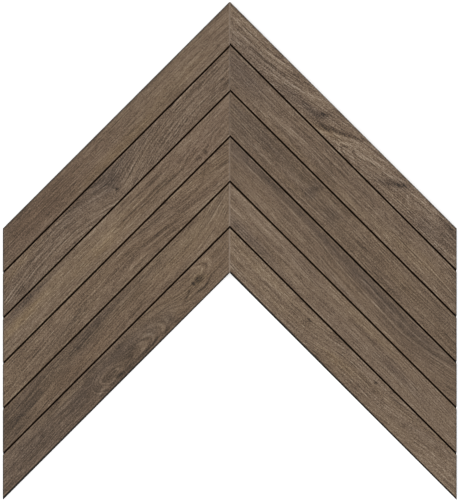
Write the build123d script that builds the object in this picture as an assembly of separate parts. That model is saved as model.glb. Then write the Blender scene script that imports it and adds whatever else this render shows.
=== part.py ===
from build123d import *
import os

# Chevron mosaic sheet of twelve sawn wood-look porcelain slats on one backing sheet.
# Millimetres. The V points along +Y, the printed face looks up along +Z, and the underside is at Z = 0.
# The origin is below the middle of the sheet's box, on the plane that the sheet lies on.

# Driving dimensions of the sheet
sheet_width = 362.0
sheet_thickness = 9.8
backing_thickness = 0.8
backing_inset = 0.2

# Driving dimensions of the slats, measured square to their length, from the top slat of each arm down
left_slat_widths = (24.4, 24.3, 24.3, 24.1, 24.2, 25.3)
right_slat_widths = (23.2, 24.7, 24.5, 24.3, 24.5, 25.4)
joint_width = 1.3
seam_gap = 0.1
arris_bevel = 0.3

# Keyed back of each slat: shallow channels along its length
key_count = 3
key_width = 3.6
key_depth = 0.6

# Derived sizes: every slat lies at 45 degrees, so a width square to it is taken up times root 2 along Y
slope_factor = 2 ** 0.5
half_width = sheet_width / 2
slat_thickness = sheet_thickness - backing_thickness
arm_width = sum(left_slat_widths) + joint_width * (len(left_slat_widths) - 1)
end_height = arm_width * slope_factor
sheet_height = half_width + end_height
crest_y = sheet_height / 2


def arm_strip(side, start, width, base_z, height):
    """A 45 degree strip of one arm: side is -1 or 1, start is its distance below the arm's upper edge."""
    seam_x = seam_gap / 2
    upper = crest_y - start * slope_factor
    lower = upper - width * slope_factor
    outline = Polyline(
        (side * seam_x, upper - seam_x),
        (side * half_width, upper - half_width),
        (side * half_width, lower - half_width),
        (side * seam_x, lower - seam_x),
        close=True,
    )
    return Pos(0, 0, base_z) * extrude(make_face(outline), amount=height, dir=(0, 0, 1))


def slat(side, start, width):
    """One slat: sawn body, fine bevel round the printed face, key channels along the back."""
    body = arm_strip(side, start, width, backing_thickness, slat_thickness)
    face_edges = body.faces().sort_by(Axis.Z)[-1].edges()
    body = chamfer(face_edges, length=arris_bevel)
    key_pitch = width / key_count
    for index in range(key_count):
        key_start = start + key_pitch * (index + 0.5) - key_width / 2
        body -= arm_strip(side, key_start, key_width, backing_thickness, key_depth)
    return body


def backing():
    """The V-shaped sheet that carries all the slats, a little inside their outline."""
    outline = Polyline(
        (0, crest_y),
        (half_width, crest_y - half_width),
        (half_width, -crest_y),
        (0, crest_y - end_height),
        (-half_width, -crest_y),
        (-half_width, crest_y - half_width),
        close=True,
    )
    shape = offset(make_face(outline), amount=-backing_inset, kind=Kind.INTERSECTION)
    return extrude(shape, amount=backing_thickness, dir=(0, 0, 1))


def arm(name, side, widths):
    """The slats of one arm by node name, laid side by side from the crest down with open joints."""
    slats = {}
    start = 0.0
    for number, width in enumerate(widths, 1):
        slats[f"{name}_slat_{number}"] = slat(side, start, width)
        start += width + joint_width
    return slats


nodes = {"mesh_backing": backing()}
nodes.update(arm("left", -1, left_slat_widths))
nodes.update(arm("right", 1, right_slat_widths))

os.makedirs("parts", exist_ok=True)
for node_name, solid in nodes.items():
    export_step(solid, f"parts/{node_name}.step")
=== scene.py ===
import math

import bpy
import numpy as np
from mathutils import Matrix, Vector


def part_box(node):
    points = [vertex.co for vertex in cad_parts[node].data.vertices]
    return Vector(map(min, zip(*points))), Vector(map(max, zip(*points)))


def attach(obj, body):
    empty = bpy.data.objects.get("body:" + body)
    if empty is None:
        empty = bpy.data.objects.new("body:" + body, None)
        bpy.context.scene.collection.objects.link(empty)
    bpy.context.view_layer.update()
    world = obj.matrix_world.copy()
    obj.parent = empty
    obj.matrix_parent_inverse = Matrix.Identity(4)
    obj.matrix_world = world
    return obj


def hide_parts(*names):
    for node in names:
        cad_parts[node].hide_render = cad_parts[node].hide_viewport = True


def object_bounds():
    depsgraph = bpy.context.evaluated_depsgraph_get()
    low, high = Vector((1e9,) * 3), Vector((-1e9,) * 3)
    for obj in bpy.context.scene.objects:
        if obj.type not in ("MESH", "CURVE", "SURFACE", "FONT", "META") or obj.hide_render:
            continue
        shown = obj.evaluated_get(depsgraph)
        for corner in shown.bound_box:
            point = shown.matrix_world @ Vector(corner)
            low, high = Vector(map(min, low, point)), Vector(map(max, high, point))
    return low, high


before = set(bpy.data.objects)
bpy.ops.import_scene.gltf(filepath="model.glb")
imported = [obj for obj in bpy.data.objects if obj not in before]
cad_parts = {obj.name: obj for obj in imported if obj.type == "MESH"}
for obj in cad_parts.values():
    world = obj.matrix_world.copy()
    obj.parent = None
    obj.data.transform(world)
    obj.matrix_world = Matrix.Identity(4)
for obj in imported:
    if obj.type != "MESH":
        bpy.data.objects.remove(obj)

cad_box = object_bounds()

# Units: the frame is in metres, and all on a slat is laid out in millimetres along and across it
MM = 0.001
ROOT2 = math.sqrt(2)
TINY = 1e-6

# Photograph's frame, in pixels
FRAME_WIDTH = 458
FRAME_HEIGHT = 500
SHEET_CENTRE_ROW = 250.8
SHEET_CENTRE_COLUMN = 229.75
MM_PER_PIXEL = 0.7975

# Slat details that the solids share
BEVEL = 0.3
KEY_COUNT = 3
KEY_WIDTH = 3.6
KEY_DEPTH = 0.6

# Fineness of the printed face's mesh, how deep its relief goes, and over what width it sets in
STEP_ALONG = 0.8
STEP_ACROSS = 0.36
RELIEF_DEPTH = 0.14
RELIEF_FADE = 1.2

# Beside each joint, from the slat's edge: painted shade on the arris, and a paler band of painted
# highlight next to it
JOINT_SHADE_WIDTH = 0.18
JOINT_HIGHLIGHT_PLACE = 0.55
JOINT_HIGHLIGHT_WIDTH = 0.3
JOINT_HIGHLIGHT = 0.13

# Painted shade as a dark rim along the lower edge of each arm's last slat: how wide at the seam and
# at the end
LOWER_RIM = {"left_slat_6": (1.05, 1.7), "right_slat_6": (1.75, 1.3)}
RIM_FADE = 0.35

# How far the painted shade on the outer edge fades inward, at the outer ends and on each arm's
# upper edge
END_EDGE = 0.45
UPPER_EDGE = {"left_slat_1": 0.65, "right_slat_1": 0.3}

# Painted highlight on the seam bevels: how wide, how pale from the crest down, the right arm's
# share of it
SEAM_HALF_WIDTH = 0.2
SEAM_HIGHLIGHT_BY_SLAT = (0.75, 0.55, 0.4, 0.7, 0.95, 1.0)
RIGHT_SEAM_HIGHLIGHT = 0.35

# Glass-fibre threads of the backing, woven over and under
THREAD_PITCH = 5.0
THREAD_HALF_WIDTH = 0.5
THREAD_HALF_HEIGHT = 0.15
THREAD_WAVE = 0.12
THREAD_Z = THREAD_HALF_HEIGHT + THREAD_WAVE

# Skin of adhesive that beds them: height of its underside, how far it is squeezed out past the
# solid backing, step of its mesh, and its swells by size, shift, seed and depth
SKIN_Z = 0.42
SQUEEZE_OUT = 0.15
SKIN_STEP = 2.5
SKIN_SWELLS = ((23.0, 40.0, 900, 0.07), (6.0, 90.0, 901, 0.042))

# Gradient noise: the size of its table, and what brings it to about -1 to 1
LATTICE = 256
NOISE_GAIN = 1.6


def smooth_step(value):
    """Eases 0 to 1, and holds outside it."""
    value = np.clip(value, 0.0, 1.0)
    return value * value * (3.0 - 2.0 * value)


def bell(distance, width):
    """1 at no distance, and fading out with the width given."""
    return np.exp(-0.5 * (distance / width) ** 2)


def noise(x, y, seed):
    """Gradient noise of about -1 to 1, with one swell to each unit of x and of y."""
    angles = np.random.default_rng(seed).random((LATTICE, LATTICE)) * 2.0 * math.pi
    column = np.floor(x).astype(int)
    row = np.floor(y).astype(int)
    part_x = x - column
    part_y = y - row
    total = np.zeros_like(part_x)
    for step_x in (0, 1):
        for step_y in (0, 1):
            angle = angles[(column + step_x) % LATTICE, (row + step_y) % LATTICE]
            slope = np.cos(angle) * (part_x - step_x) + np.sin(angle) * (part_y - step_y)
            weight_x = smooth_step(1.0 - np.abs(part_x - step_x))
            weight_y = smooth_step(1.0 - np.abs(part_y - step_y))
            total += slope * weight_x * weight_y
    return total * NOISE_GAIN


# The print of each slat, in millimetres along from the crest side and across from the upper edge
# tone and warmth shift all of it, stripe and fine say how strongly growth rings and fibres show
# flow: place along the slat, and how far across the grain has strayed there
# eyes: middle along and across, reach of the rings to the crest side, outward, across, contrast
# marks: kind, along, across, half length, half width, tilt, strength
# A knot is dark with a firm edge. An arc is the crest side of an oval's line, pale or below 0 dark,
# with how far round it goes in place of the tilt
# fibres: place across at the slat's start, from, to, half width, strength, following the grain
PRINTS = {
    "left_slat_1": {
        "tone": 0, "warmth": 0.1, "stripe": 0.4, "fine": 0.85,
        "flow": ((0, 2), (40, 0), (110, 1), (180, 0), (280, 2)),
        "marks": (
            ("pale", 58, 12, 40, 8, 0, 0.16), ("yellow", 145, 21, 34, 3, 0, 0.9),
            ("yellow", 80, 16, 26, 5, 0, 0.5), ("dark", 238, 9, 36, 9, 0, 0.3),
            ("red", 225, 12, 50, 10, 0, 0.9), ("grey", 259, 6, 5, 3, 0.3, 1),
            ("pale", 262, 5, 4, 2.5, 0.3, 0.2), ("knot", 32, 18.5, 2.2, 1, 0, 0.4),
            ("dark", 140, 7, 16, 4, 0, 0.14),
        ),
        "fibres": ((6, 150, 215, 0.4, -0.2), (13, 190, 240, 0.5, -0.25), (19, 205, 262, 0.4, -0.2)),
    },
    "left_slat_2": {
        "tone": -0.03, "warmth": 0, "stripe": 0.8, "fine": 1.1,
        "flow": (
            (0, 0), (60, 1), (95, 5), (125, 14), (140, 18), (150, 18), (162, 13), (190, 8),
            (225, 9), (280, 17),
        ),
        "marks": (
            ("knot", 143.5, 16.4, 1.4, 1.1, 0, 1.15), ("grey", 146, 4, 13, 5.5, 0, 0.9),
            ("dark", 147, 4, 8, 4.5, 0, 0.26), ("dark", 140, 9, 4, 2.5, 0.3, 0.16),
            ("dark", 153, 9, 5, 1.6, -0.3, 0.16), ("grey", 144, 12, 5, 3.5, 0, 0.8),
            ("dark", 144, 12.5, 3, 2.2, 0, 0.12), ("grey", 118, 2, 20, 2.5, 0.1, 0.6),
            ("dark", 170, 1.5, 12, 1.8, 0, 0.3), ("grey", 190, 6, 14, 3, 0, 0.5),
            ("dark", 102, 5, 20, 5, 0.1, 0.12), ("dark", 197, 6, 14, 5, 0, 0.09),
            ("pale", 225, 14, 30, 7, 0, 0.07), ("dark", 254, 19.5, 3.5, 1.6, 0.1, 0.35),
            ("knot", 73, 16.5, 1.2, 0.9, 0, 0.6), ("yellow", 245, 4, 20, 3, 0.1, 0.5),
            ("grey", 262, 19, 16, 5, 0.1, 0.5),
        ),
        "fibres": (
            (6.5, 8, 52, 0.5, 0.4), (9.5, 12, 95, 0.45, 0.35), (12.2, 14, 80, 0.4, 0.3),
            (3.5, 10, 60, 0.4, -0.35), (8.2, 20, 100, 0.4, -0.35), (-0.2, 88, 140, 0.6, 0.45),
            (1.1, 92, 140, 0.5, -0.5), (2.6, 96, 140, 1, 0.4), (-1.6, 84, 138, 0.5, -0.4),
            (3.4, 100, 132, 0.4, -0.3), (-3, 80, 136, 0.5, 0.25), (1.2, 205, 276, 0.4, 0.45),
            (2.4, 205, 278, 0.4, -0.45), (3.6, 215, 278, 0.4, 0.4), (-0.6, 215, 275, 0.4, -0.3),
            (6, 165, 255, 0.5, 0.35), (7.6, 170, 262, 0.5, -0.35), (9.2, 158, 225, 0.5, 0.3),
            (4.6, 180, 270, 0.4, -0.3),
        ),
    },
    "left_slat_3": {
        "tone": 0.08, "warmth": 0.1, "stripe": 0.45, "fine": 0.95,
        "flow": ((0, 0), (60, 1), (140, 1), (200, 0), (280, 3)),
        "marks": (
            ("grey", 51, 18.8, 4, 2.2, 0, 0.8), ("dark", 48.8, 19.8, 1.8, 0.9, 0, 0.42),
            ("dark", 53.2, 20.2, 0.8, 1.1, 0, 0.7), ("dark", 55.4, 19.7, 1.5, 0.5, -0.35, 0.6),
            ("arc", 51, 19.4, 2.6, 2, 0.9, 0.3), ("arc", 51, 19.4, 4.6, 3.6, 0.4, -0.28),
            ("arc", 51, 19.4, 6.2, 4.8, 0.2, 0.22), ("pale", 59, 11.4, 7, 0.5, 0.24, 0.5),
            ("dark", 60, 12.9, 4.5, 0.45, 0.24, 0.45), ("dark", 56, 14.9, 3.5, 0.5, 0.3, 0.5),
            ("pale", 57, 16.2, 3, 0.5, 0.15, 0.25), ("pale", 35, 16.6, 6, 0.5, 0.28, 0.4),
            ("dark", 40.5, 16.9, 4, 0.5, 0.45, 0.48), ("red", 51, 19, 7, 4, 0, 0.8),
            ("pale", 150, 12, 14, 11, 0, 0.22), ("yellow", 160, 14, 40, 9, 0, 0.6),
            ("yellow", 246, 10.5, 22, 3, 0.03, 0.9), ("pale", 238, 11, 26, 3.2, 0.03, 0.2),
            ("grey", 226, 2.6, 32, 1.5, 0.01, 0.9), ("dark", 226, 2.3, 30, 1.3, 0.01, 0.36),
            ("dark", 100, 13.5, 24, 1.8, 0, 0.12), ("dark", 30, 19, 30, 5, 0, 0.08),
            ("grey", 88, 13, 5, 2, 0, 0.6), ("red", 60, 12, 60, 12, 0, 0.5),
        ),
        "fibres": (
            (12, 74, 142, 0.5, -0.5), (14.8, 62, 122, 0.45, -0.6), (5.2, 80, 122, 0.45, -0.5),
            (17.5, 75, 120, 0.45, -0.25), (10, 80, 130, 0.4, 0.2), (3.4, 60, 110, 0.4, -0.2),
        ),
    },
    "left_slat_4": {
        "tone": -0.03, "warmth": 0.3, "stripe": 0.65, "fine": 1,
        "flow": (
            (0, 14), (25, 10), (60, 5), (90, 1), (120, -1), (150, -1), (190, 1), (240, 5), (280, 7),
        ),
        "marks": (
            ("dark", 62, 10.5, 8, 0.8, -0.1, 0.35), ("dark", 48, 12.5, 6, 0.6, -0.15, 0.25),
            ("dark", 141, 10, 7, 0.7, 0, 0.35), ("dark", 95, 13.5, 9, 0.6, -0.1, 0.25),
            ("grey", 187, 15, 16, 2.6, 0.04, 0.6), ("dark", 186, 14.5, 14, 1.3, 0.04, 0.12),
            ("red", 90, 12, 90, 12, 0, 0.5), ("pale", 200, 4, 8, 2, 0.25, 0.3),
            ("dark", 207, 6, 6, 1.5, 0.25, 0.3), ("pale", 216, 6.5, 5, 1.2, 0.2, 0.25),
            ("dark", 200, 22, 8, 1.2, 0, 0.2), ("pale", 22, 12, 20, 9, 0, 0.12),
            ("dark", 48, 5, 18, 4, 0, 0.1),
        ),
        "fibres": (
            (16, 30, 120, 0.45, 0.25), (8.5, 20, 100, 0.4, -0.3), (12, 80, 190, 0.45, -0.3),
            (19, 100, 200, 0.45, 0.25), (5.5, 30, 110, 0.4, 0.3), (14, 60, 150, 0.4, -0.25),
            (10.4, 110, 180, 0.4, 0.25), (2.5, 60, 140, 0.4, -0.25),
        ),
    },
    "left_slat_5": {
        "tone": -0.03, "warmth": 0.3, "stripe": 0.5, "fine": 0.9,
        "flow": ((0, -12), (22, -5), (45, 0), (80, 1), (130, 1), (200, 5), (280, 10)),
        "marks": (
            ("pale", 46, 15, 32, 9, 0, 0.22), ("dark", 205, 10, 50, 12, 0.03, 0.12),
            ("dark", 104, 8, 24, 8, 0, 0.08), ("dark", 202, 18, 14, 5, 0, 0.1),
            ("red", 150, 18, 70, 5, 0, 0.7), ("yellow", 64, 12, 30, 6, 0, 0.4),
            ("grey", 176, 5, 34, 4.5, 0.05, 0.7), ("dark", 160, 4, 26, 3.6, 0.05, 0.2),
            ("dark", 235, 13, 9, 1, 0.03, 0.5), ("grey", 235, 13, 12, 2.2, 0.03, 0.7),
            ("grey", 258, 14, 18, 8, 0.05, 0.7), ("dark", 262, 14, 20, 9, 0.05, 0.3),
            ("dark", 225, 4, 24, 3, 0.03, 0.22), ("dark", 46, 1.5, 4, 1, 0, 0.3),
            ("pale", 226, 7.5, 6, 1, 0.1, 0.2),
        ),
        "fibres": (
            (9, 170, 262, 0.45, 0.22), (3, 100, 200, 0.4, -0.25), (15, 110, 190, 0.4, 0.22),
            (14, 4, 60, 0.45, 0.25), (11, 8, 70, 0.4, -0.2), (6.5, 30, 110, 0.4, 0.2),
        ),
    },
    "left_slat_6": {
        "tone": -0.02, "warmth": 0, "stripe": 0.5, "fine": 0.9,
        "flow": ((0, 6), (18, 9), (40, 8), (60, 8), (85, 2), (150, 0), (210, 1), (280, 3)),
        "eyes": ((150, 16, 58, 18, 8.6, 0.025),),
        "marks": (
            ("grey", 45.5, 10.8, 4.6, 2.8, 0, 1), ("knot", 46, 11.4, 3.9, 3, 0, 0.68),
            ("pale", 45.8, 11, 1.6, 1.1, 0, 0.22), ("arc", 46, 11, 5.8, 4.8, 2, 0.12),
            ("yellow", 45.5, 11, 3.5, 2.6, 0, 0.8), ("knot", 51.8, 10.8, 1.3, 1.7, 0, 1.2),
            ("arc", 43, 6.5, 14, 6, -0.2, 0.6), ("arc", 44, 6.5, 12.8, 5, -0.2, 0.55),
            ("arc", 43, 6.8, 9.2, 4.2, 0, -0.32), ("arc", 48, 6, 10, 4.2, 0.2, 0.42),
            ("arc", 118, 16.5, 13.5, 6.5, 0.2, 0.22), ("arc", 119, 16.5, 12, 5.4, 0.2, 0.14),
            ("arc", 114, 15.5, 16.5, 6.4, 0.4, -0.18), ("arc", 110, 17, 16, 6, 0.2, 0.24),
            ("arc", 108, 17, 18.5, 7, 0.2, -0.14), ("pale", 106.5, 14.2, 2.6, 1, 0, 0.16),
            ("pale", 119, 20.3, 6, 0.7, 0.1, 0.4), ("dark", 96, 22, 26, 0.9, 0, 0.35),
            ("grey", 102, 14.5, 3.4, 3.2, 0, 0.8), ("arc", 149, 15, 12, 3.4, 0.4, 0.16),
            ("arc", 150, 15.2, 5.5, 1.7, 2, -0.16), ("arc", 150, 15.5, 32, 6.5, 0.6, -0.16),
            ("dark", 126, 14.5, 6, 2.2, -0.05, 0.26), ("dark", 122, 19, 15, 4.5, 0, 0.15),
            ("pale", 150, 20.3, 16, 0.6, 0, 0.28), ("pale", 166, 20.4, 7, 0.9, 0.3, 0.4),
            ("dark", 27, 15.6, 8, 0.5, 0.06, 0.55), ("dark", 40, 17.1, 4, 0.55, 0.35, 0.7),
            ("dark", 46, 18.6, 3.5, 0.55, 0.1, 0.72), ("dark", 52, 18.2, 3.5, 0.5, -0.25, 0.62),
            ("dark", 61, 13.8, 4, 0.55, 0.35, 0.65), ("dark", 64, 18, 6, 0.5, -0.55, 0.3),
            ("dark", 69, 18, 7, 0.5, -0.6, 0.3), ("pale", 67, 17, 7, 0.6, -0.6, 0.28),
            ("pale", 74, 16, 7, 0.6, -0.6, 0.28), ("knot", 84.5, 16.5, 2.6, 2.6, 0, 0.14),
            ("knot", 83.5, 19, 5, 1.6, 0, 0.12), ("grey", 85.5, 17, 5, 3.6, 0, 1),
            ("grey", 126, 8, 34, 4.5, -0.08, 0.8), ("dark", 130, 7, 30, 4, -0.08, 0.18),
            ("knot", 145, 20.7, 3.8, 1.2, 0, 0.75), ("dark", 128, 22.8, 34, 1.5, 0, 0.4),
            ("dark", 160, 20, 16, 4.5, 0, 0.22), ("dark", 174, 9, 28, 8, 0, 0.2),
            ("yellow", 60, 12, 46, 10, 0, 0.5), ("red", 40, 12, 40, 12, 0, 0.4),
            ("pale", 18, 12, 16, 9, 0, 0.1), ("grey", 230, 12, 44, 10, 0, 0.8),
            ("dark", 236, 15, 34, 7, 0.05, 0.26), ("yellow", 195, 3, 30, 2.4, 0, 0.4),
        ),
        "fibres": (
            (4, 165, 262, 0.45, 0.25), (9.5, 165, 215, 0.45, -0.3), (1.5, 60, 120, 0.4, -0.25),
        ),
    },
    "right_slat_1": {
        "tone": 0.07, "warmth": 0, "stripe": 0.8, "fine": 1.3,
        "flow": (
            (0, 6), (55, 4), (90, -3), (130, -10), (150, -14), (200, -21), (230, -23), (280, -24),
        ),
        "marks": (
            ("grey", 107, 15.5, 9, 2.4, -0.1, 0.9), ("dark", 107, 15.6, 8, 2, -0.08, 0.38),
            ("dark", 120, 17, 5, 1, 0, 0.35), ("dark", 116.8, 11, 2.8, 2.2, -0.9, 0.58),
            ("grey", 117, 11, 5, 2.4, -0.6, 0.8), ("pale", 102, 6, 13, 0.7, -0.3, 0.5),
            ("dark", 131, 13.6, 8, 1, -0.42, 0.42), ("dark", 146, 6.6, 8, 1.2, -0.55, 0.5),
            ("pale", 137, 14.6, 9, 0.9, -0.55, 0.5), ("pale", 150, 8, 9, 0.8, -0.5, 0.42),
            ("pale", 166, 4.6, 10, 0.7, -0.16, 0.32), ("pale", 142, 16.6, 5, 0.8, -0.7, 0.4),
            ("pale", 152, 11, 7, 0.7, -0.5, 0.34), ("arc", 156, 18.4, 14, 5.2, 0.4, 0.42),
            ("arc", 154, 18.6, 9, 3.4, 0.6, -0.4), ("arc", 152, 18.6, 5, 1.8, 2, 0.4),
            ("knot", 154.5, 14.8, 1.5, 1.6, 0, 0.6), ("pale", 168, 10.6, 10, 0.9, -0.36, 0.45),
            ("pale", 183, 8.4, 8, 0.6, -0.04, 0.4), ("dark", 170, 12.4, 9, 0.6, -0.3, 0.28),
            ("dark", 194, 11.4, 6, 2, -0.6, 0.5), ("dark", 201, 6, 4, 1.5, -0.9, 0.42),
            ("grey", 197, 9, 9, 3.2, -0.6, 0.9), ("pale", 192, 6.6, 8, 0.7, -0.42, 0.4),
            ("arc", 222, 9, 12, 5, 0.2, 0.46), ("dark", 214, 6, 3, 1, -0.5, 0.25),
            ("grey", 236, 17.5, 7, 2.6, 0, 0.7), ("dark", 236, 17.5, 5, 1.8, 0, 0.25),
            ("dark", 246, 3.6, 9, 1.2, -0.05, 0.35), ("grey", 85, 17, 8, 5, -0.1, 0.7),
            ("dark", 84, 18, 7, 3, -0.2, 0.14), ("yellow", 128, 19, 12, 2.6, -0.3, 0.7),
            ("pale", 25, 4, 26, 4, 0, 0.12), ("grey", 34, 18, 26, 7, 0, 0.6),
            ("dark", 30, 19, 20, 5, 0, 0.1), ("pale", 112, 4, 14, 4, 0, 0.14),
            ("dark", 254, 8, 9, 8, 0, 0.2), ("grey", 250, 9, 14, 8, 0, 0.6),
        ),
        "fibres": (
            (2.5, 2, 75, 0.5, 0.4), (0.5, 5, 70, 0.4, -0.35), (7, 10, 80, 0.5, 0.35),
            (10.5, 14, 85, 0.4, -0.35), (13, 18, 110, 0.5, 0.4), (9, 30, 90, 0.35, -0.35),
            (15.5, 40, 110, 0.45, 0.3), (4.8, 8, 90, 0.4, -0.3), (27, 160, 250, 0.45, 0.3),
            (31, 170, 262, 0.45, 0.3), (29, 165, 240, 0.4, -0.3), (35, 200, 268, 0.4, -0.25),
        ),
    },
    "right_slat_2": {
        "tone": 0.02, "warmth": 0.05, "stripe": 0.35, "fine": 1,
        "flow": ((0, 2), (60, 1), (130, 0), (200, 0), (240, 1), (280, 3)),
        "marks": (
            ("grey", 22, 9, 19, 9, 0, 1), ("dark", 22, 9, 16, 6, 0, 0.12),
            ("pale", 75, 15, 18, 1.6, -0.1, 0.2), ("yellow", 232, 13, 26, 4, 0, 0.5),
            ("yellow", 150, 21, 60, 3, 0, 0.4), ("pale", 225, 16, 40, 5, 0, 0.1),
            ("dark", 105, 8, 40, 3, 0, 0.08), ("dark", 258, 5, 18, 7, 0, 0.09),
            ("dark", 28, 20, 1.6, 1, 0, 0.3),
        ),
        "fibres": (
            (14.5, 54, 92, 0.4, 0.35), (12.4, 160, 208, 0.35, 0.45), (12, 206, 268, 0.35, 0.4),
            (13.4, 160, 262, 0.35, -0.4), (9.5, 80, 190, 0.4, -0.2), (18.5, 60, 150, 0.4, -0.2),
        ),
    },
    "right_slat_3": {
        "tone": -0.08, "warmth": 0.3, "stripe": 0.35, "fine": 0.95,
        "flow": ((0, 0), (70, 1), (140, 0), (220, 1), (280, 1)),
        "marks": (
            ("grey", 24, 12, 22, 11, 0, 0.7), ("grey", 60, 7, 36, 6, 0, 0.6),
            ("dark", 62, 6, 28, 4, 0, 0.09), ("knot", 105.4, 3.5, 2.4, 3, 0, 0.18),
            ("knot", 104, 7, 1.8, 3, 0, 0.22), ("knot", 102.4, 11, 1.5, 3, 0, 0.2),
            ("knot", 100.6, 15, 1.6, 2.6, 0, 0.18), ("grey", 103, 9, 3.4, 7, 0, 0.9),
            ("grey", 127, 12.5, 6, 3.6, 0, 0.9), ("dark", 127, 12.5, 4.5, 2.6, 0, 0.28),
            ("pale", 60, 17, 16, 2, 0, 0.16), ("pale", 138, 10, 20, 2, 0, 0.12),
            ("grey", 248, 6, 20, 6, 0, 0.4),
        ),
        "fibres": (
            (6.6, 140, 162, 0.4, 0.4), (8.4, 188, 206, 0.4, 0.4), (17, 190, 206, 0.4, 0.3),
            (19.5, 90, 130, 0.4, 0.3), (11.2, 150, 230, 0.4, -0.2), (15, 60, 110, 0.4, -0.2),
            (4.2, 170, 240, 0.4, 0.2),
        ),
    },
    "right_slat_4": {
        "tone": -0.05, "warmth": 0.2, "stripe": 0.12, "fine": 0.76,
        "flow": (
            (0, 0), (53, 0), (107, 1.5), (143, 4.4), (178, 5.6), (214, 6), (232, 3.8), (250, 0),
            (280, -6),
        ),
        "marks": (
            ("grey", 60, 3, 50, 2.4, 0.02, 0.7), ("grey", 14, 5, 12, 5, 0, 0.8),
            ("dark", 70, 3, 56, 2.6, 0.02, 0.24), ("grey", 180, 6, 40, 4.6, 0.03, 0.9),
            ("dark", 180, 6, 38, 4.2, 0.03, 0.26), ("grey", 236, 4, 18, 4, -0.15, 0.7),
            ("dark", 238, 5, 20, 4, -0.2, 0.22), ("dark", 140, 12, 26, 2.4, 0, 0.08),
            ("pale", 80, 18, 70, 6, 0, 0.14),
        ),
        "fibres": (
            (7, 14, 190, 0.4, 0.4), (8, 90, 230, 0.4, -0.22), (1.2, 146, 256, 0.45, 0.5),
            (-0.2, 150, 240, 0.35, -0.22), (7, 165, 268, 0.45, 0.6), (19, 30, 100, 0.4, 0.3),
            (15, 112, 190, 0.4, 0.3), (16.8, 112, 222, 0.4, 0.5), (17.6, 225, 262, 0.4, 0.25),
            (13, 60, 180, 0.4, -0.2), (17.8, 60, 170, 0.35, -0.25),
        ),
    },
    "right_slat_5": {
        "tone": 0.08, "warmth": 0.1, "stripe": 0.4, "fine": 0.9,
        "flow": ((0, 1), (60, 0), (100, 2), (180, 1), (280, 3)),
        "marks": (
            ("pale", 40, 7, 34, 6, 0, 0.2), ("pale", 132, 5, 24, 5, 0, 0.1),
            ("grey", 36, 21.5, 16, 2.4, 0, 0.9), ("dark", 36, 21.8, 15, 2.2, 0, 0.28),
            ("dark", 70, 16, 26, 4, 0.05, 0.1), ("dark", 94, 13.8, 3, 0.7, 0.15, 0.4),
            ("grey", 203, 14, 18, 2.4, 0, 0.6), ("dark", 203, 14, 14, 1, 0.02, 0.12),
            ("dark", 120, 8.2, 50, 0.7, 0, 0.16), ("yellow", 150, 4, 30, 3, 0, 0.4),
        ),
        "fibres": (
            (6.5, 10, 80, 0.4, 0.25), (8, 140, 210, 0.4, -0.3), (10, 25, 90, 0.4, -0.25),
            (13.5, 90, 150, 0.4, -0.22), (16, 180, 240, 0.4, 0.2), (3.4, 60, 130, 0.4, -0.2),
        ),
    },
    "right_slat_6": {
        "tone": 0.09, "warmth": 0.1, "stripe": 0.4, "fine": 1.1,
        "flow": ((0, 0), (30, 2), (70, 3), (100, 1), (135, -6), (180, -6), (230, -15), (280, -18)),
        "marks": (
            ("knot", 97, 7, 2.4, 1.3, -0.2, 0.65), ("knot", 169.5, 5, 1.9, 1.1, 0, 0.95),
            ("knot", 173, 11, 2.2, 0.9, 0, 0.6), ("pale", 50, 10, 40, 8, 0, 0.12),
            ("yellow", 50, 8, 46, 9, 0, 0.25), ("yellow", 138, 15, 14, 3, -0.1, 0.7),
            ("dark", 88, 9, 12, 2, -0.1, 0.16), ("dark", 121, 22.5, 6, 1.1, 0, 0.3),
            ("dark", 158, 23.2, 3.5, 1, 0, 0.4), ("dark", 100, 21, 30, 2.5, 0, 0.1),
            ("dark", 205, 6, 22, 5, 0, 0.08), ("pale", 246, 17, 26, 6, 0, 0.18),
        ),
        "fibres": (
            (9, 40, 90, 0.4, -0.3), (12.5, 12, 70, 0.4, -0.3), (17, 100, 140, 0.4, 0.25),
            (22, 180, 235, 0.4, 0.25), (14, 90, 170, 0.4, -0.25), (24, 190, 262, 0.4, -0.25),
            (6, 20, 80, 0.4, 0.25),
        ),
    },
}

# Each slat draws its noise from its own run of seeds
SEED_START = 7
SEED_STEP = 40

# Course of the grain: its stations, a millimetre apart, and how far each blends with its neighbours
COURSE_FROM = -30
COURSE_TO = 310
COURSE_REACH = 24
COURSE_BLEND = 8.0

# Swings of the grain: how far across, how long and how wide
SWINGS = ((0.9, 46.0, 14.0), (0.35, 17.0, 6.0))

# Rings round an eye: their pitch, how far apart the ring numbers of two eyes are kept, and where in
# its own reach an eye lets go of the grain and over how much
RING_PITCH = 2.3
EYE_OFFSET = 60.0
EYE_END = 1.45
EYE_FADE = 0.45

# Wobble and fraying of the rings: strength, scale or size along and across, shifts, and seed
EYE_WOBBLE = (0.16, (1.6, 1.1), (31.0, 17.0), 13)
EYE_FRAYING = (0.25, (9.0, 2.5), (5.0, 9.0), 14)

# Streaks along the grain, each layer's length, width, strength and seed: growth rings, what frays
# the marks, patches where fibres show, greyer and yellower parts, creases in the relief
RINGS = ((60.0, 8.0, 0.08, 2), (60.0, 2.6, 0.028, 3), (50.0, 1.3, 0.024, 4), (28.0, 0.85, 0.072, 5))
FRAYING = ((24.0, 0.85, 0.45, 8), (6.0, 3.0, 0.3, 12))
PATCHES = ((9.0, 5.0, 0.5, 16),)
GREYING = ((50.0, 7.0, 1.0, 9),)
YELLOWING = ((60.0, 6.0, 0.2, 10),)
CREASES = ((7.0, 0.8, 1.0, 11),)

# Share of the rings that every slat shows, mean fraying, mean patch, and how grey the streaks get
LEAST_RINGS = 0.35
MEAN_FRAYING = 0.92
MEAN_PATCH = 0.85
GREYEST = 0.25

# Over what length a drawn fibre sets in, the share of it that shows everywhere, half width of arcs
FIBRE_FADE = 12.0
LEAST_FIBRE = 0.4
ARC_HALF_WIDTH = 0.8

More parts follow.
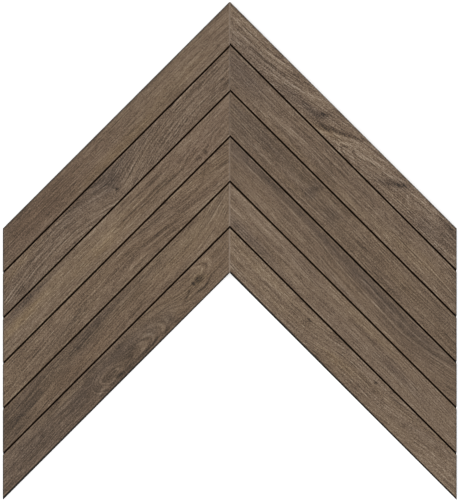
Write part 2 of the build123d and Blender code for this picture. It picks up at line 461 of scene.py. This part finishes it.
# Relief: its mean depth, how much it rises with the pale rings, and the creases' share
MEAN_RELIEF = 0.5
RELIEF_BY_RING = 0.9
CREASE_SHARE = 0.5


class Slat:
    """One slat's place, taken from its solid, and what is printed on it."""

    def __init__(self, name):
        low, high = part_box(name)
        reach = (high.x - low.x) / MM
        self.name = name
        self.plan = PRINTS[name]
        self.seed = SEED_START + SEED_STEP * sorted(PRINTS).index(name)
        self.side = -1 if name.startswith("left") else 1
        self.number = int(name[-1])
        self.seam_x = (high.x if self.side < 0 else low.x) / MM
        self.length = reach * ROOT2
        self.width = ((high.y - low.y) / MM - reach) / ROOT2
        self.crest_y = high.y / MM
        self.low_z = low.z / MM
        self.high_z = high.z / MM

    def point(self, along, across, z):
        """Frame coordinates in metres: along the upper edge, and across square to the slat.

        Points of one place along lie on an upright line, so the slat's two ends stay straight.
        """
        x = self.seam_x + self.side * along / ROOT2
        y = self.crest_y - along / ROOT2 - across * ROOT2
        return np.stack([x * MM, y * MM, z * MM], axis=-1)

    def channels(self):
        """Where the channels of the back begin and end across the slat."""
        pitch = self.width / KEY_COUNT
        middles = [pitch * (index + 0.5) for index in range(KEY_COUNT)]
        return [(middle - KEY_WIDTH / 2, middle + KEY_WIDTH / 2) for middle in middles]


def spaced(stops, step):
    """Values through all the stops, no further apart than step."""
    values = [stops[0]]
    for start, end in zip(stops, stops[1:]):
        count = max(1, math.ceil((end - start) / step - TINY))
        values.extend(np.linspace(start, end, count + 1)[1:])
    return np.array(values)


def eye_rings(slat, u, v):
    """Ring coordinates round a slat's eyes in millimetres, how far they hold here, and contrast."""
    rings = np.zeros_like(u)
    hold = np.zeros_like(u)
    contrast = np.zeros_like(u)
    wobble, (scale_u, scale_v), (shift_u, shift_v), wobble_seed = EYE_WOBBLE
    fraying, (length_u, length_v), (start_u, start_v), fraying_seed = EYE_FRAYING
    eyes = slat.plan.get("eyes", ())
    for number, (along, across, toward, away, width, clear) in enumerate(eyes, 1):
        side = (u - along) / np.where(u < along, toward, away)
        rise = (v - across) / width
        bent = noise(scale_u * side + shift_u, scale_v * rise + shift_v, slat.seed + wobble_seed)
        frayed = noise(u / length_u + start_u, v / length_v + start_v, slat.seed + fraying_seed)
        ring = np.hypot(side, rise) * (1.0 + wobble * bent) + fraying / width * frayed
        inside = smooth_step((EYE_END - ring) / EYE_FADE)
        rings = np.where(inside > hold, ring * width + EYE_OFFSET * number, rings)
        contrast = np.where(inside > hold, clear, contrast)
        hold = np.maximum(hold, inside)
    return rings, hold, contrast


def grain_lines(slat, u, v):
    """How far across the slat each point's fibre started, in millimetres."""
    stations = np.arange(COURSE_FROM, COURSE_TO + 1)
    course = np.interp(stations, *zip(*slat.plan["flow"]))
    kernel = bell(np.arange(-COURSE_REACH, COURSE_REACH + 1), COURSE_BLEND)
    padded = np.pad(course, COURSE_REACH, mode="edge")
    course = np.convolve(padded, kernel / kernel.sum(), mode="valid")
    lines = v - np.interp(u, stations, course)
    for number, (far, length, width) in enumerate(SWINGS):
        lines = lines + far * noise(u / length, v / width, slat.seed + number)
    return lines


def add_marks(marks, u, v, frayed, tone, grey, yellow):
    """Lays a slat's marks over its tone, greyness and yellowness."""
    for kind, along, across, length, width, tilt, strength in marks:
        side, rise = (u - along) / length, (v - across) / width
        if kind == "knot":
            tone = tone - strength * np.exp(-(side ** 2 + rise ** 2) ** 2)
            continue
        if kind == "arc":
            outward = np.hypot(side, rise) + TINY
            gap = np.hypot(u - along, v - across) * (1.0 - 1.0 / outward)
            shown = smooth_step(tilt - side) * bell(gap, ARC_HALF_WIDTH)
            tone = tone + strength * shown * frayed
            continue
        mask = strength * bell(u - along, length) * bell(v - across - tilt * (u - along), width)
        if kind == "red":
            grey = grey - mask
        elif kind == "grey":
            grey = grey + mask * frayed
        elif kind == "yellow":
            yellow = yellow + mask * frayed
        else:
            tone = tone + (mask if kind == "pale" else -mask) * frayed
    return tone, grey, yellow


def print_layers(slat, u, v):
    """The face's grain and ring coordinates, tone, greyness, yellowness and depth of relief."""
    plan = slat.plan
    lines = grain_lines(slat, u, v)
    rings, hold, contrast = eye_rings(slat, u, v)

    def streaks(layers):
        """Noise drawn out along the grain, or round an eye's rings inside one."""
        total = 0.0
        for length, width, strength, number in layers:
            seed = slat.seed + number
            straight = noise(u / length, lines / width, seed)
            curled = noise(u / length, rings / width, seed)
            total = total + strength * (straight * (1.0 - hold) + curled * hold)
        return total

    growth = streaks(RINGS) * (LEAST_RINGS + (1.0 - LEAST_RINGS) * plan["stripe"])
    frayed = MEAN_FRAYING + streaks(FRAYING)
    grey = GREYEST * smooth_step(streaks(GREYING))
    yellow = np.clip(plan["warmth"] + streaks(YELLOWING), 0.0, 1.0)
    tone = plan["tone"] + growth
    tone, grey, yellow = add_marks(plan["marks"], u, v, frayed, tone, grey, yellow)

    patchy = MEAN_PATCH + streaks(PATCHES)
    for across, start, end, width, strength in plan["fibres"]:
        ends = smooth_step((u - start) / FIBRE_FADE) * smooth_step((end - u) / FIBRE_FADE)
        shown = ends * (LEAST_FIBRE + (1.0 - LEAST_FIBRE) * patchy)
        tone = tone + strength * shown * bell(lines - across, width)
    turn = 2.0 * math.pi * (rings % EYE_OFFSET) / RING_PITCH
    tone = tone + contrast * hold * np.cos(turn) * patchy
    deep = smooth_step(MEAN_RELIEF - RELIEF_BY_RING * growth)
    return {
        "lines": lines, "rings": rings, "hold": hold, "tone": 0.5 + 0.5 * tone,
        "grey": np.clip(grey, -1, 1), "yellow": np.clip(yellow, 0, 1),
        "deep": deep + CREASE_SHARE * smooth_step(streaks(CREASES)),
    }


def edge_layers(slat, along, across):
    """Painted highlight beside the joints, and how far painted light shows at the edges: seam
    highlight, joint shade and edge shade.
    """
    # Painted highlight: a pale line down the seam, fainter on the right arm
    pale = SEAM_HIGHLIGHT_BY_SLAT[slat.number - 1] * bell(along / ROOT2, SEAM_HALF_WIDTH)
    if slat.side > 0:
        pale = pale * RIGHT_SEAM_HIGHLIGHT
    seam_rim, end_rim = LOWER_RIM.get(slat.name, (0.0, 0.0))
    rim = seam_rim + (end_rim - seam_rim) * along / slat.length
    from_joint = slat.width - across - rim
    # Painted shade: the outer ends and the lower rim darken, and so do the upper edges listed
    dark = bell((slat.length - along) / ROOT2, END_EDGE)
    dark = np.maximum(dark, smooth_step(-from_joint / RIM_FADE))
    if slat.name in UPPER_EDGE:
        dark = np.maximum(dark, bell(across, UPPER_EDGE[slat.name]))
    else:
        from_joint = np.minimum(from_joint, across)
    # Painted highlight: a paler band just inside each joint's painted shade
    joint_highlight = JOINT_HIGHLIGHT * bell(from_joint - JOINT_HIGHLIGHT_PLACE, JOINT_HIGHLIGHT_WIDTH)
    return joint_highlight, {"seam_highlight": pale, "joint_shade": bell(from_joint, JOINT_SHADE_WIDTH), "edge_shade": dark}


def carved_face(slat, along, across, deep):
    """Points of the printed face: level, with the bevel round it and the grain carved inside."""
    from_edge = np.minimum.reduce([
        across, slat.width - across, along / ROOT2, (slat.length - along) / ROOT2,
    ])
    drop = np.clip(BEVEL - from_edge, 0.0, BEVEL)
    relief = RELIEF_DEPTH * deep * smooth_step((from_edge - BEVEL) / RELIEF_FADE)
    return slat.point(along, across, slat.high_z - drop - relief).reshape(-1, 3)


def lower_ends(slat):
    """Points of the slat's two lower ends, which step round the channels of the back."""
    profile = [(0.0, 0.0)]
    for start, end in slat.channels():
        profile += [(start, 0.0), (start, KEY_DEPTH), (end, KEY_DEPTH), (end, 0.0)]
    profile.append((slat.width, 0.0))
    return np.array([
        slat.point(end, place, slat.low_z + lift)
        for end in (0.0, slat.length) for place, lift in profile
    ])


def grid_quads(index):
    """The four corners of every square of a grid of point numbers."""
    corners = [index[:-1, :-1], index[:-1, 1:], index[1:, 1:], index[1:, :-1]]
    return np.stack(corners, axis=-1).reshape(-1, 4)


def slat_faces(slat, shape, count):
    """Faces of the closed slat, the printed face's first, and how many are those."""
    index = np.arange(shape[0] * shape[1]).reshape(shape)
    quads = grid_quads(index)
    near = list(range(index.size, index.size + count))
    far = [k + count for k in near]
    loops = [[near[k], far[k], far[k + 1], near[k + 1]] for k in range(count - 1)]
    loops += [
        list(index[0, ::-1]) + near,
        list(index[-1, :]) + far[::-1],
        list(index[:, 0]) + [far[0], near[0]],
        list(index[::-1, -1]) + [near[-1], far[-1]],
    ]
    if slat.side < 0:
        quads = quads[:, ::-1]
        loops = [loop[::-1] for loop in loops]
    return quads.tolist() + [[int(k) for k in loop] for loop in loops], len(quads)


def new_mesh(name, points, faces, smooth, materials):
    """A mesh from points in metres. Its first faces, as many as smooth says, are shaded smooth."""
    mesh = bpy.data.meshes.new(name)
    mesh.from_pydata(points, [], faces)
    mesh.polygons.foreach_set("use_smooth", np.arange(len(faces)) < smooth)
    for material in materials:
        mesh.materials.append(material)
    return mesh


def new_object(name, data):
    """An object in the scene for a mesh, lamp or camera."""
    made = bpy.data.objects.new(name, data)
    bpy.context.scene.collection.objects.link(made)
    return made


def new_piece(mesh, nodes):
    """A finished piece of the sheet that stands for the CAD nodes named."""
    mesh.validate()
    mesh.update()
    piece = new_object(mesh.name, mesh)
    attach(piece, "root")
    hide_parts(*nodes)


def set_layer(mesh, name, kind, field, values, spare):
    """Keeps a value for each point of the printed face, and zeros for the spare points under it."""
    layer = mesh.attributes.new(name, kind, "POINT")
    padded = np.concatenate([values, np.zeros((spare, *values.shape[1:]))])
    layer.data.foreach_set(field, padded.astype(np.float32).reshape(-1))


def build_slat(name, materials):
    """One fired slat as a closed mesh: carved face, fine bevel, sawn sides, channelled back."""
    slat = Slat(name)
    stops = [0.0, BEVEL, *np.ravel(slat.channels()), slat.width - BEVEL, slat.width]
    end_bevel = BEVEL * ROOT2
    rows = spaced([0.0, end_bevel, slat.length - end_bevel, slat.length], STEP_ALONG)
    along, across = np.meshgrid(rows, spaced(stops, STEP_ACROSS), indexing="ij")
    u, v = along + across, across
    figure = print_layers(slat, u, v)
    joint_highlight, values = edge_layers(slat, along, across)

    top = carved_face(slat, along, across, figure["deep"])
    under = lower_ends(slat)
    faces, face_count = slat_faces(slat, along.shape, len(under) // 2)
    mesh = new_mesh(name + "_tile", np.vstack([top, under]).tolist(), faces, face_count, materials)
    sawn = np.arange(len(faces)) >= face_count
    mesh.polygons.foreach_set("material_index", sawn.astype(np.int32))

    # The tone takes the painted highlight beside the joints
    values["tone"] = figure["tone"] + joint_highlight
    values["fine"] = np.full_like(u, slat.plan["fine"])
    values.update({key: figure[key] for key in ("grey", "yellow", "hold")})
    for key, value in values.items():
        set_layer(mesh, key, "FLOAT", "value", value.reshape(-1), len(under))
    for key, lines in (("grain", figure["lines"]), ("ring_grain", figure["rings"])):
        vectors = np.stack([u, lines, np.full_like(u, slat.seed)], axis=-1).reshape(-1, 3)
        set_layer(mesh, key, "FLOAT_VECTOR", "vector", vectors, len(under))
    new_piece(mesh, [name])


class Chevron:
    """The adhesive's V outline in millimetres, taken from the backing's solid."""

    def __init__(self):
        low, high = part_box("mesh_backing")
        self.half_width = high.x / MM + SQUEEZE_OUT
        self.crest_y = high.y / MM + SQUEEZE_OUT * ROOT2
        self.low_y = low.y / MM - SQUEEZE_OUT * (ROOT2 + 1)
        self.notch_y = self.low_y + self.half_width
        self.high_z = high.z / MM

    def upright_run(self, x):
        """Where a thread along Y at x starts and ends."""
        return self.notch_y - abs(x), self.crest_y - abs(x)

    def level_runs(self, y):
        """Where a thread along X at y starts and ends: below the notch once in each arm."""
        outer = min(self.half_width, self.crest_y - y)
        inner = self.notch_y - y
        if inner <= 0:
            return [(-outer, outer)]
        return [(-outer, -inner), (inner, outer)]


def thread_section():
    """A flattened six-sided yarn: offsets sideways and up."""
    side, up = THREAD_HALF_WIDTH, THREAD_HALF_HEIGHT
    half = side / 2
    return (-side, 0.0), (-half, -up), (half, -up), (side, 0.0), (half, up), (-half, up)


def add_thread(points, faces, place, run, upright, number):
    """One thread at its place across, which dips and rises by turns at the threads it crosses."""
    start, end = run
    if end - start < THREAD_PITCH:
        return
    inset = THREAD_HALF_WIDTH
    step = THREAD_PITCH / 2
    inner = np.arange(math.ceil(start / step), math.floor(end / step) + 1) * step
    inner = inner[(inner > start + 2 * inset) & (inner < end - 2 * inset)]
    stations = np.concatenate([[start + inset], inner, [end - inset]])
    wave = THREAD_WAVE if upright else -THREAD_WAVE
    heights = THREAD_Z + wave * np.cos(math.pi * (stations / THREAD_PITCH + number))
    section = thread_section()
    base = len(points)
    for along, height in zip(stations, heights):
        for side, up in section:
            across = place + side
            x, y = (across, along) if upright else (along, -across)
            points.append((x * MM, y * MM, (height + up) * MM))
    size = len(section)
    last = base + (len(stations) - 1) * size
    for ring in range(base, last, size):
        for k in range(size):
            after = (k + 1) % size
            faces.append((ring + after, ring + k, ring + size + k, ring + size + after))
    faces.append(tuple(base + k for k in range(size)))
    faces.append(tuple(last + k for k in reversed(range(size))))


def build_threads(outline, material):
    """The glass-fibre net, trimmed to the V."""
    points, faces = [], []
    columns = math.floor(outline.half_width / THREAD_PITCH)
    for number in range(-columns, columns + 1):
        x = number * THREAD_PITCH
        add_thread(points, faces, x, outline.upright_run(x), True, number)
    first = math.ceil(outline.low_y / THREAD_PITCH)
    last = math.floor(outline.crest_y / THREAD_PITCH)
    for number in range(first, last + 1):
        y = number * THREAD_PITCH
        for run in outline.level_runs(y):
            add_thread(points, faces, -y, run, False, number)
    mesh = new_mesh("backing_threads", points, faces, len(faces), [material])
    new_piece(mesh, ["mesh_backing"])


def round_edge(index):
    """The point numbers once round the border of a grid."""
    return [*index[:, 0], *index[-1, 1:], *index[-2::-1, -1], *index[0, -2:0:-1]]


def build_skin(outline, material):
    """The adhesive as a closed V: level under the slats, uneven where it beds the threads."""
    columns = spaced([-outline.half_width, 0.0, outline.half_width], SKIN_STEP)
    rows = spaced([0.0, outline.crest_y - outline.notch_y], SKIN_STEP)
    x, drop = np.meshgrid(columns, rows, indexing="ij")
    y = outline.crest_y - np.abs(x) - drop
    low_z = np.full_like(x, SKIN_Z)
    for size, shift, seed, depth in SKIN_SWELLS:
        low_z = low_z + depth * noise(x / size + shift, y / size + shift, seed)
    high_z = np.full_like(x, outline.high_z)
    layers = [np.stack([x, y, z], axis=-1).reshape(-1, 3) for z in (low_z, high_z)]
    count = x.size
    index = np.arange(count).reshape(x.shape)
    faces = grid_quads(index)[:, ::-1].tolist()
    uneven = len(faces)
    middle = len(columns) // 2
    for arm in (index[:middle + 1], index[middle:]):
        faces.append([int(k) + count for k in reversed(round_edge(arm))])
    border = [int(k) for k in round_edge(index)]
    for first, second in zip(border, border[1:] + border[:1]):
        faces.append([second, first, first + count, second + count])
    points = (np.vstack(layers) * MM).tolist()
    mesh = new_mesh("backing_adhesive", points, faces, uneven, [material])
    new_piece(mesh, ["mesh_backing"])


# What noise nodes mostly give, and the middle part of it
NOISE_SPAN = (0.25, 0.75)
MIDDLE_SPAN = (0.3, 0.7)


class Nodes:
    """Short calls for laying out a material's nodes."""

    def __init__(self, name):
        self.material = bpy.data.materials.new(name)
        self.material.use_nodes = True
        self.tree = self.material.node_tree
        self.shader = self.tree.nodes["Principled BSDF"]

    def new(self, kind, **settings):
        node = self.tree.nodes.new(kind)
        for key, value in settings.items():
            setattr(node, key, value)
        return node

    def feed(self, socket, value):
        """Links an output to the socket, or sets it to a number or a colour."""
        if isinstance(value, bpy.types.NodeSocket):
            self.tree.links.new(value, socket)
        elif isinstance(value, tuple):
            socket.default_value = (*value, 1.0)
        else:
            socket.default_value = value

    def surface(self, **inputs):
        """Sets the shader's inputs, whose names are written with underscores."""
        for name, value in inputs.items():
            self.feed(self.shader.inputs[name.replace("_", " ")], value)

    def attribute(self, name, output="Fac"):
        return self.new("ShaderNodeAttribute", attribute_name=name).outputs[output]

    def position(self):
        return self.new("ShaderNodeNewGeometry").outputs["Position"]

    def noise(self, vector, scale, detail=0.0, roughness=0.5):
        """Noise with so many swells to each unit of the vector, by axis."""
        scaled = self.new("ShaderNodeVectorMath", operation="MULTIPLY")
        self.feed(scaled.inputs[0], vector)
        scaled.inputs[1].default_value = scale
        node = self.new("ShaderNodeTexNoise")
        self.feed(node.inputs["Vector"], scaled.outputs["Vector"])
        for key, value in (("Scale", 1.0), ("Detail", detail), ("Roughness", roughness)):
            node.inputs[key].default_value = value
        return node.outputs["Fac"]

    def ramp(self, factor, stops):
        node = self.new("ShaderNodeValToRGB")
        band = node.color_ramp
        while len(band.elements) < len(stops):
            band.elements.new(0.5)
        for element, (place, colour) in zip(band.elements, stops):
            element.position = place
            element.color = (*colour, 1.0)
        self.feed(node.inputs["Fac"], factor)
        return node.outputs["Color"]

    def map(self, value, taken, given):
        """Turns the range taken into the range given, and holds at its ends."""
        node = self.new("ShaderNodeMapRange")
        self.feed(node.inputs["Value"], value)
        for key, number in zip(("From Min", "From Max", "To Min", "To Max"), (*taken, *given)):
            node.inputs[key].default_value = number
        return node.outputs["Result"]

    def swing(self, value, strength, span=NOISE_SPAN):
        """Noise turned into a swing of the strength given, to both sides of 0."""
        return self.map(value, span, (-strength, strength))

    def mix(self, factor, first, second, data="RGBA", blend="MIX"):
        node = self.new("ShaderNodeMix", data_type=data, blend_type=blend)
        for key, value in (("Factor", factor), ("A", first), ("B", second)):
            self.feed(node.inputs[key], value)
        return node.outputs["Result"]

    def tint(self, factor, colour, shade):
        """The colour multiplied by a shade, so far as the factor says."""
        return self.mix(factor, colour, self.mix(1.0, colour, shade, blend="MULTIPLY"))

    def math(self, operation, first, second):
        node = self.new("ShaderNodeMath", operation=operation)
        self.feed(node.inputs[0], first)
        self.feed(node.inputs[1], second)
        return node.outputs["Value"]

    def bump(self, height, strength, depth):
        """Bump of a depth in millimetres."""
        node = self.new("ShaderNodeBump")
        self.feed(node.inputs["Strength"], strength)
        self.feed(node.inputs["Distance"], depth * MM)
        self.feed(node.inputs["Height"], height)
        self.surface(Normal=node.outputs["Normal"])


# Layers of the print: fineness along, across and by seed, and strength. The fibres have two layers
FIBRES = (((0.028, 1.15, 1.0), 0.155), ((0.16, 1.05, 1.7), 0.09))
SPECKLE = ((0.9, 1.15, 2.3), 0.195)
CLOUDS = ((0.09, 0.16, 3.1), 0.04)
PORES = ((0.2, 3.0, 2.9), 0.4)
PORE_SPAN = (0.62, 0.74)

# Colours of the printed glaze by tone, the tints laid over them, and the colours of painted shade
# and painted highlight at the edges
GLAZE = (
    (0.0, (0.024, 0.016, 0.010)),
    (0.25, (0.077, 0.0505, 0.032)),
    (0.5, (0.152, 0.102, 0.067)),
    (0.75, (0.240, 0.175, 0.121)),
    (1.0, (0.358, 0.281, 0.207)),
)
GREY_TINT = (0.88, 0.91, 0.985)
RED_TINT = (1.03, 0.985, 0.97)
YELLOW_TINT = (1.03, 1.0, 0.85)
# Multiplied in as painted shade on the arris beside each joint
JOINT_SHADE_TINT = (0.66, 0.54, 0.37)
PORE_COLOUR = (0.040, 0.025, 0.017)
# Painted shade at the outer edges and along the lower rim
EDGE_SHADE_COLOUR = (0.006, 0.005, 0.004)
# Painted highlight down the seam
SEAM_HIGHLIGHT_COLOUR = (0.600, 0.480, 0.385)


def printed_face():
    """Matt glaze with a printed timber figure, to which nodes add fibres and pores."""
    n = Nodes("printed_face")
    grain = n.attribute("grain", "Vector")

    def fibres(vector):
        layers = [n.swing(n.noise(vector, scale), strength) for scale, strength in FIBRES]
        return n.math("ADD", *layers)

    scale, strength = SPECKLE
    speckle = n.noise(grain, scale)
    curled = fibres(n.attribute("ring_grain", "Vector"))
    figure = n.mix(n.attribute("hold"), fibres(grain), curled, data="FLOAT")
    figure = n.math("ADD", figure, n.swing(speckle, strength))
    tone = n.math("MULTIPLY", figure, n.attribute("fine"))
    tone = n.math("ADD", n.attribute("tone"), tone)
    scale, strength = CLOUDS
    clouds = n.noise(grain, scale, detail=2.0)
    tone = n.math("ADD", tone, n.swing(clouds, strength, MIDDLE_SPAN))

    grey = n.attribute("grey")
    colour = n.tint(grey, n.ramp(tone, GLAZE), GREY_TINT)
    colour = n.tint(n.math("MULTIPLY", grey, -1.0), colour, RED_TINT)
    colour = n.tint(n.attribute("yellow"), colour, YELLOW_TINT)
    scale, strength = PORES
    pores = n.map(n.noise(grain, scale, detail=1.0), PORE_SPAN, (0.0, strength))
    colour = n.mix(pores, colour, PORE_COLOUR)
    # Painted shade on the arris beside each joint
    colour = n.tint(n.attribute("joint_shade"), colour, JOINT_SHADE_TINT)
    # Painted shade at the outer edges and along the lower rim
    colour = n.mix(n.attribute("edge_shade"), colour, EDGE_SHADE_COLOUR)
    # Painted highlight down the seam
    colour = n.mix(n.attribute("seam_highlight"), colour, SEAM_HIGHLIGHT_COLOUR)
    roughness = n.map(speckle, MIDDLE_SPAN, (0.56, 0.68))
    n.surface(Base_Color=colour, Roughness=roughness, Specular_IOR_Level=0.25)
    n.bump(n.math("SUBTRACT", figure, pores), strength=0.5, depth=0.10)
    return n.material


# The other materials: fineness of their noise by axis, to a metre, and their colours
SAWN_GRAINS = (900.0, 900.0, 900.0)
SAW_LINES = (700.0, 700.0, 60.0)
GRAIN_SHARE = 0.6
SAWN_COLOURS = (
    (0.25, (0.010, 0.0054, 0.0027)),
    (0.55, (0.020, 0.0110, 0.0058)),
    (0.80, (0.040, 0.0240, 0.0140)),
)
LUMPS = (260.0, 260.0, 260.0)
ADHESIVE_COLOURS = ((0.3, (0.005, 0.0028, 0.0015)), (0.7, (0.014, 0.0080, 0.0045)))
STRANDS = (2600.0, 2600.0, 900.0)
SMEARS = (70.0, 70.0, 70.0)
SMEAR_SPAN = (0.42, 0.60)
LEAST_SMEAR = 0.25
YARN_COLOURS = ((0.3, (0.105, 0.095, 0.080)), (0.7, (0.230, 0.215, 0.190)))
SMEAR_COLOUR = (0.020, 0.014, 0.010)


def sawn_body():
    """Dark full-body porcelain as the saw leaves it: faint upright saw lines and fine grains."""
    n = Nodes("sawn_body")
    place = n.position()
    grains = n.noise(place, SAWN_GRAINS, detail=3.0, roughness=0.7)
    lines = n.noise(place, SAW_LINES, detail=1.0)
    grains_part = n.math("MULTIPLY", grains, GRAIN_SHARE)
    both = n.math("ADD", grains_part, n.math("MULTIPLY", lines, 1.0 - GRAIN_SHARE))
    roughness = n.map(grains, MIDDLE_SPAN, (0.72, 0.9))
    colour = n.ramp(both, SAWN_COLOURS)
    n.surface(Base_Color=colour, Roughness=roughness, Specular_IOR_Level=0.12)
    n.bump(both, strength=0.5, depth=0.08)
    return n.material


def dark_adhesive():
    """Black-brown adhesive with a slightly uneven skin."""
    n = Nodes("dark_adhesive")
    lumps = n.noise(n.position(), LUMPS, detail=3.0, roughness=0.6)
    roughness = n.map(lumps, MIDDLE_SPAN, (0.5, 0.8))
    colour = n.ramp(lumps, ADHESIVE_COLOURS)
    n.surface(Base_Color=colour, Roughness=roughness, Specular_IOR_Level=0.3)
    n.bump(lumps, strength=0.6, depth=0.15)
    return n.material


def glass_fibre():
    """Grey glass-fibre yarn, smeared with adhesive in patches."""
    n = Nodes("glass_fibre")
    place = n.position()
    strands = n.noise(place, STRANDS, detail=1.0)
    smears = n.noise(place, SMEARS, detail=4.0, roughness=0.65)
    smeared = n.map(smears, SMEAR_SPAN, (LEAST_SMEAR, 1.0))
    colour = n.mix(smeared, n.ramp(strands, YARN_COLOURS), SMEAR_COLOUR)
    roughness = n.map(smears, (0.4, 0.6), (0.5, 0.75))
    n.surface(Base_Color=colour, Roughness=roughness, Specular_IOR_Level=0.3)
    n.bump(strands, strength=0.6, depth=0.08)
    return n.material


# Floor: its half size and how far it lies under the sheet in metres, its grey, and its own glow
FLOOR_SIZE = 6.0
FLOOR_DROP = 0.0002
FLOOR_GREY = 0.86
FLOOR_GLOW = 0.54

# Light: strength of the even room, then the lamp's strength on a level face, its spread and tilt in
# degrees, and how the tilt is shared between its turns about X and Y
ROOM_LIGHT = 0.8
LAMP_LIGHT = 0.2
LAMP_SPREAD = 70
LAMP_TILT = 38
LAMP_TURNS = (0.75, -0.65)

# Camera: long lens and its sensor in millimetres, and how far it sees in metres
LENS = 600.0
SENSOR = 36.0
SIGHT = 50.0


def floor_surface():
    """Pale matt floor that the camera sees as white away from shadows."""
    n = Nodes("studio_floor")
    rays = n.new("ShaderNodeLightPath").outputs
    seen = n.math("MAXIMUM", rays["Is Camera Ray"], rays["Is Glossy Ray"])
    seen = n.math("MAXIMUM", seen, rays["Is Transmission Ray"])
    n.surface(
        Base_Color=(FLOOR_GREY, FLOOR_GREY, FLOOR_GREY), Roughness=0.9, Specular_IOR_Level=0.0,
        Emission_Color=(1.0, 1.0, 1.0), Emission_Strength=n.math("MULTIPLY", seen, FLOOR_GLOW),
    )
    return n.material


def build_stage():
    """A wide pale floor just under the sheet."""
    low, high = -FLOOR_SIZE, FLOOR_SIZE
    corners = [(low, low, 0.0), (high, low, 0.0), (high, high, 0.0), (low, high, 0.0)]
    mesh = new_mesh("studio_floor", corners, [(0, 1, 2, 3)], 0, [floor_surface()])
    floor = new_object("studio_floor", mesh)
    floor.location.z = -FLOOR_DROP


def build_light():
    """An even pale room, and one broad soft lamp from the upper left."""
    world = bpy.data.worlds.new("studio")
    bpy.context.scene.world = world
    world.use_nodes = True
    room = world.node_tree.nodes["Background"].inputs
    room["Color"].default_value = (1.0, 1.0, 1.0, 1.0)
    room["Strength"].default_value = ROOM_LIGHT
    lamp = bpy.data.lights.new("soft_key", "SUN")
    lamp.angle = math.radians(LAMP_SPREAD)
    tilt = math.radians(LAMP_TILT)
    lamp.energy = LAMP_LIGHT * math.pi / math.cos(tilt)
    key = new_object("soft_key", lamp)
    key.rotation_euler = (tilt * LAMP_TURNS[0], tilt * LAMP_TURNS[1], 0.0)


def build_camera():
    """Straight above the sheet, so far off that the view has next to no perspective."""
    data = bpy.data.cameras.new("camera")
    data.lens = LENS
    data.sensor_width = SENSOR
    data.clip_end = SIGHT
    pixel = MM_PER_PIXEL * MM
    low, high = cad_box
    camera = new_object("camera", data)
    camera.location = Vector((
        (FRAME_WIDTH / 2 - SHEET_CENTRE_COLUMN) * pixel,
        (low.y + high.y) / 2 + (SHEET_CENTRE_ROW - FRAME_HEIGHT / 2) * pixel,
        high.z + FRAME_HEIGHT * pixel * LENS / SENSOR,
    ))
    bpy.context.scene.camera = camera


face = printed_face()
body = sawn_body()
for slat_name in sorted(PRINTS):
    build_slat(slat_name, (face, body))

chevron = Chevron()
build_skin(chevron, dark_adhesive())
build_threads(chevron, glass_fibre())

build_stage()
build_light()
build_camera()

bpy.context.scene.view_settings.view_transform = "Standard"
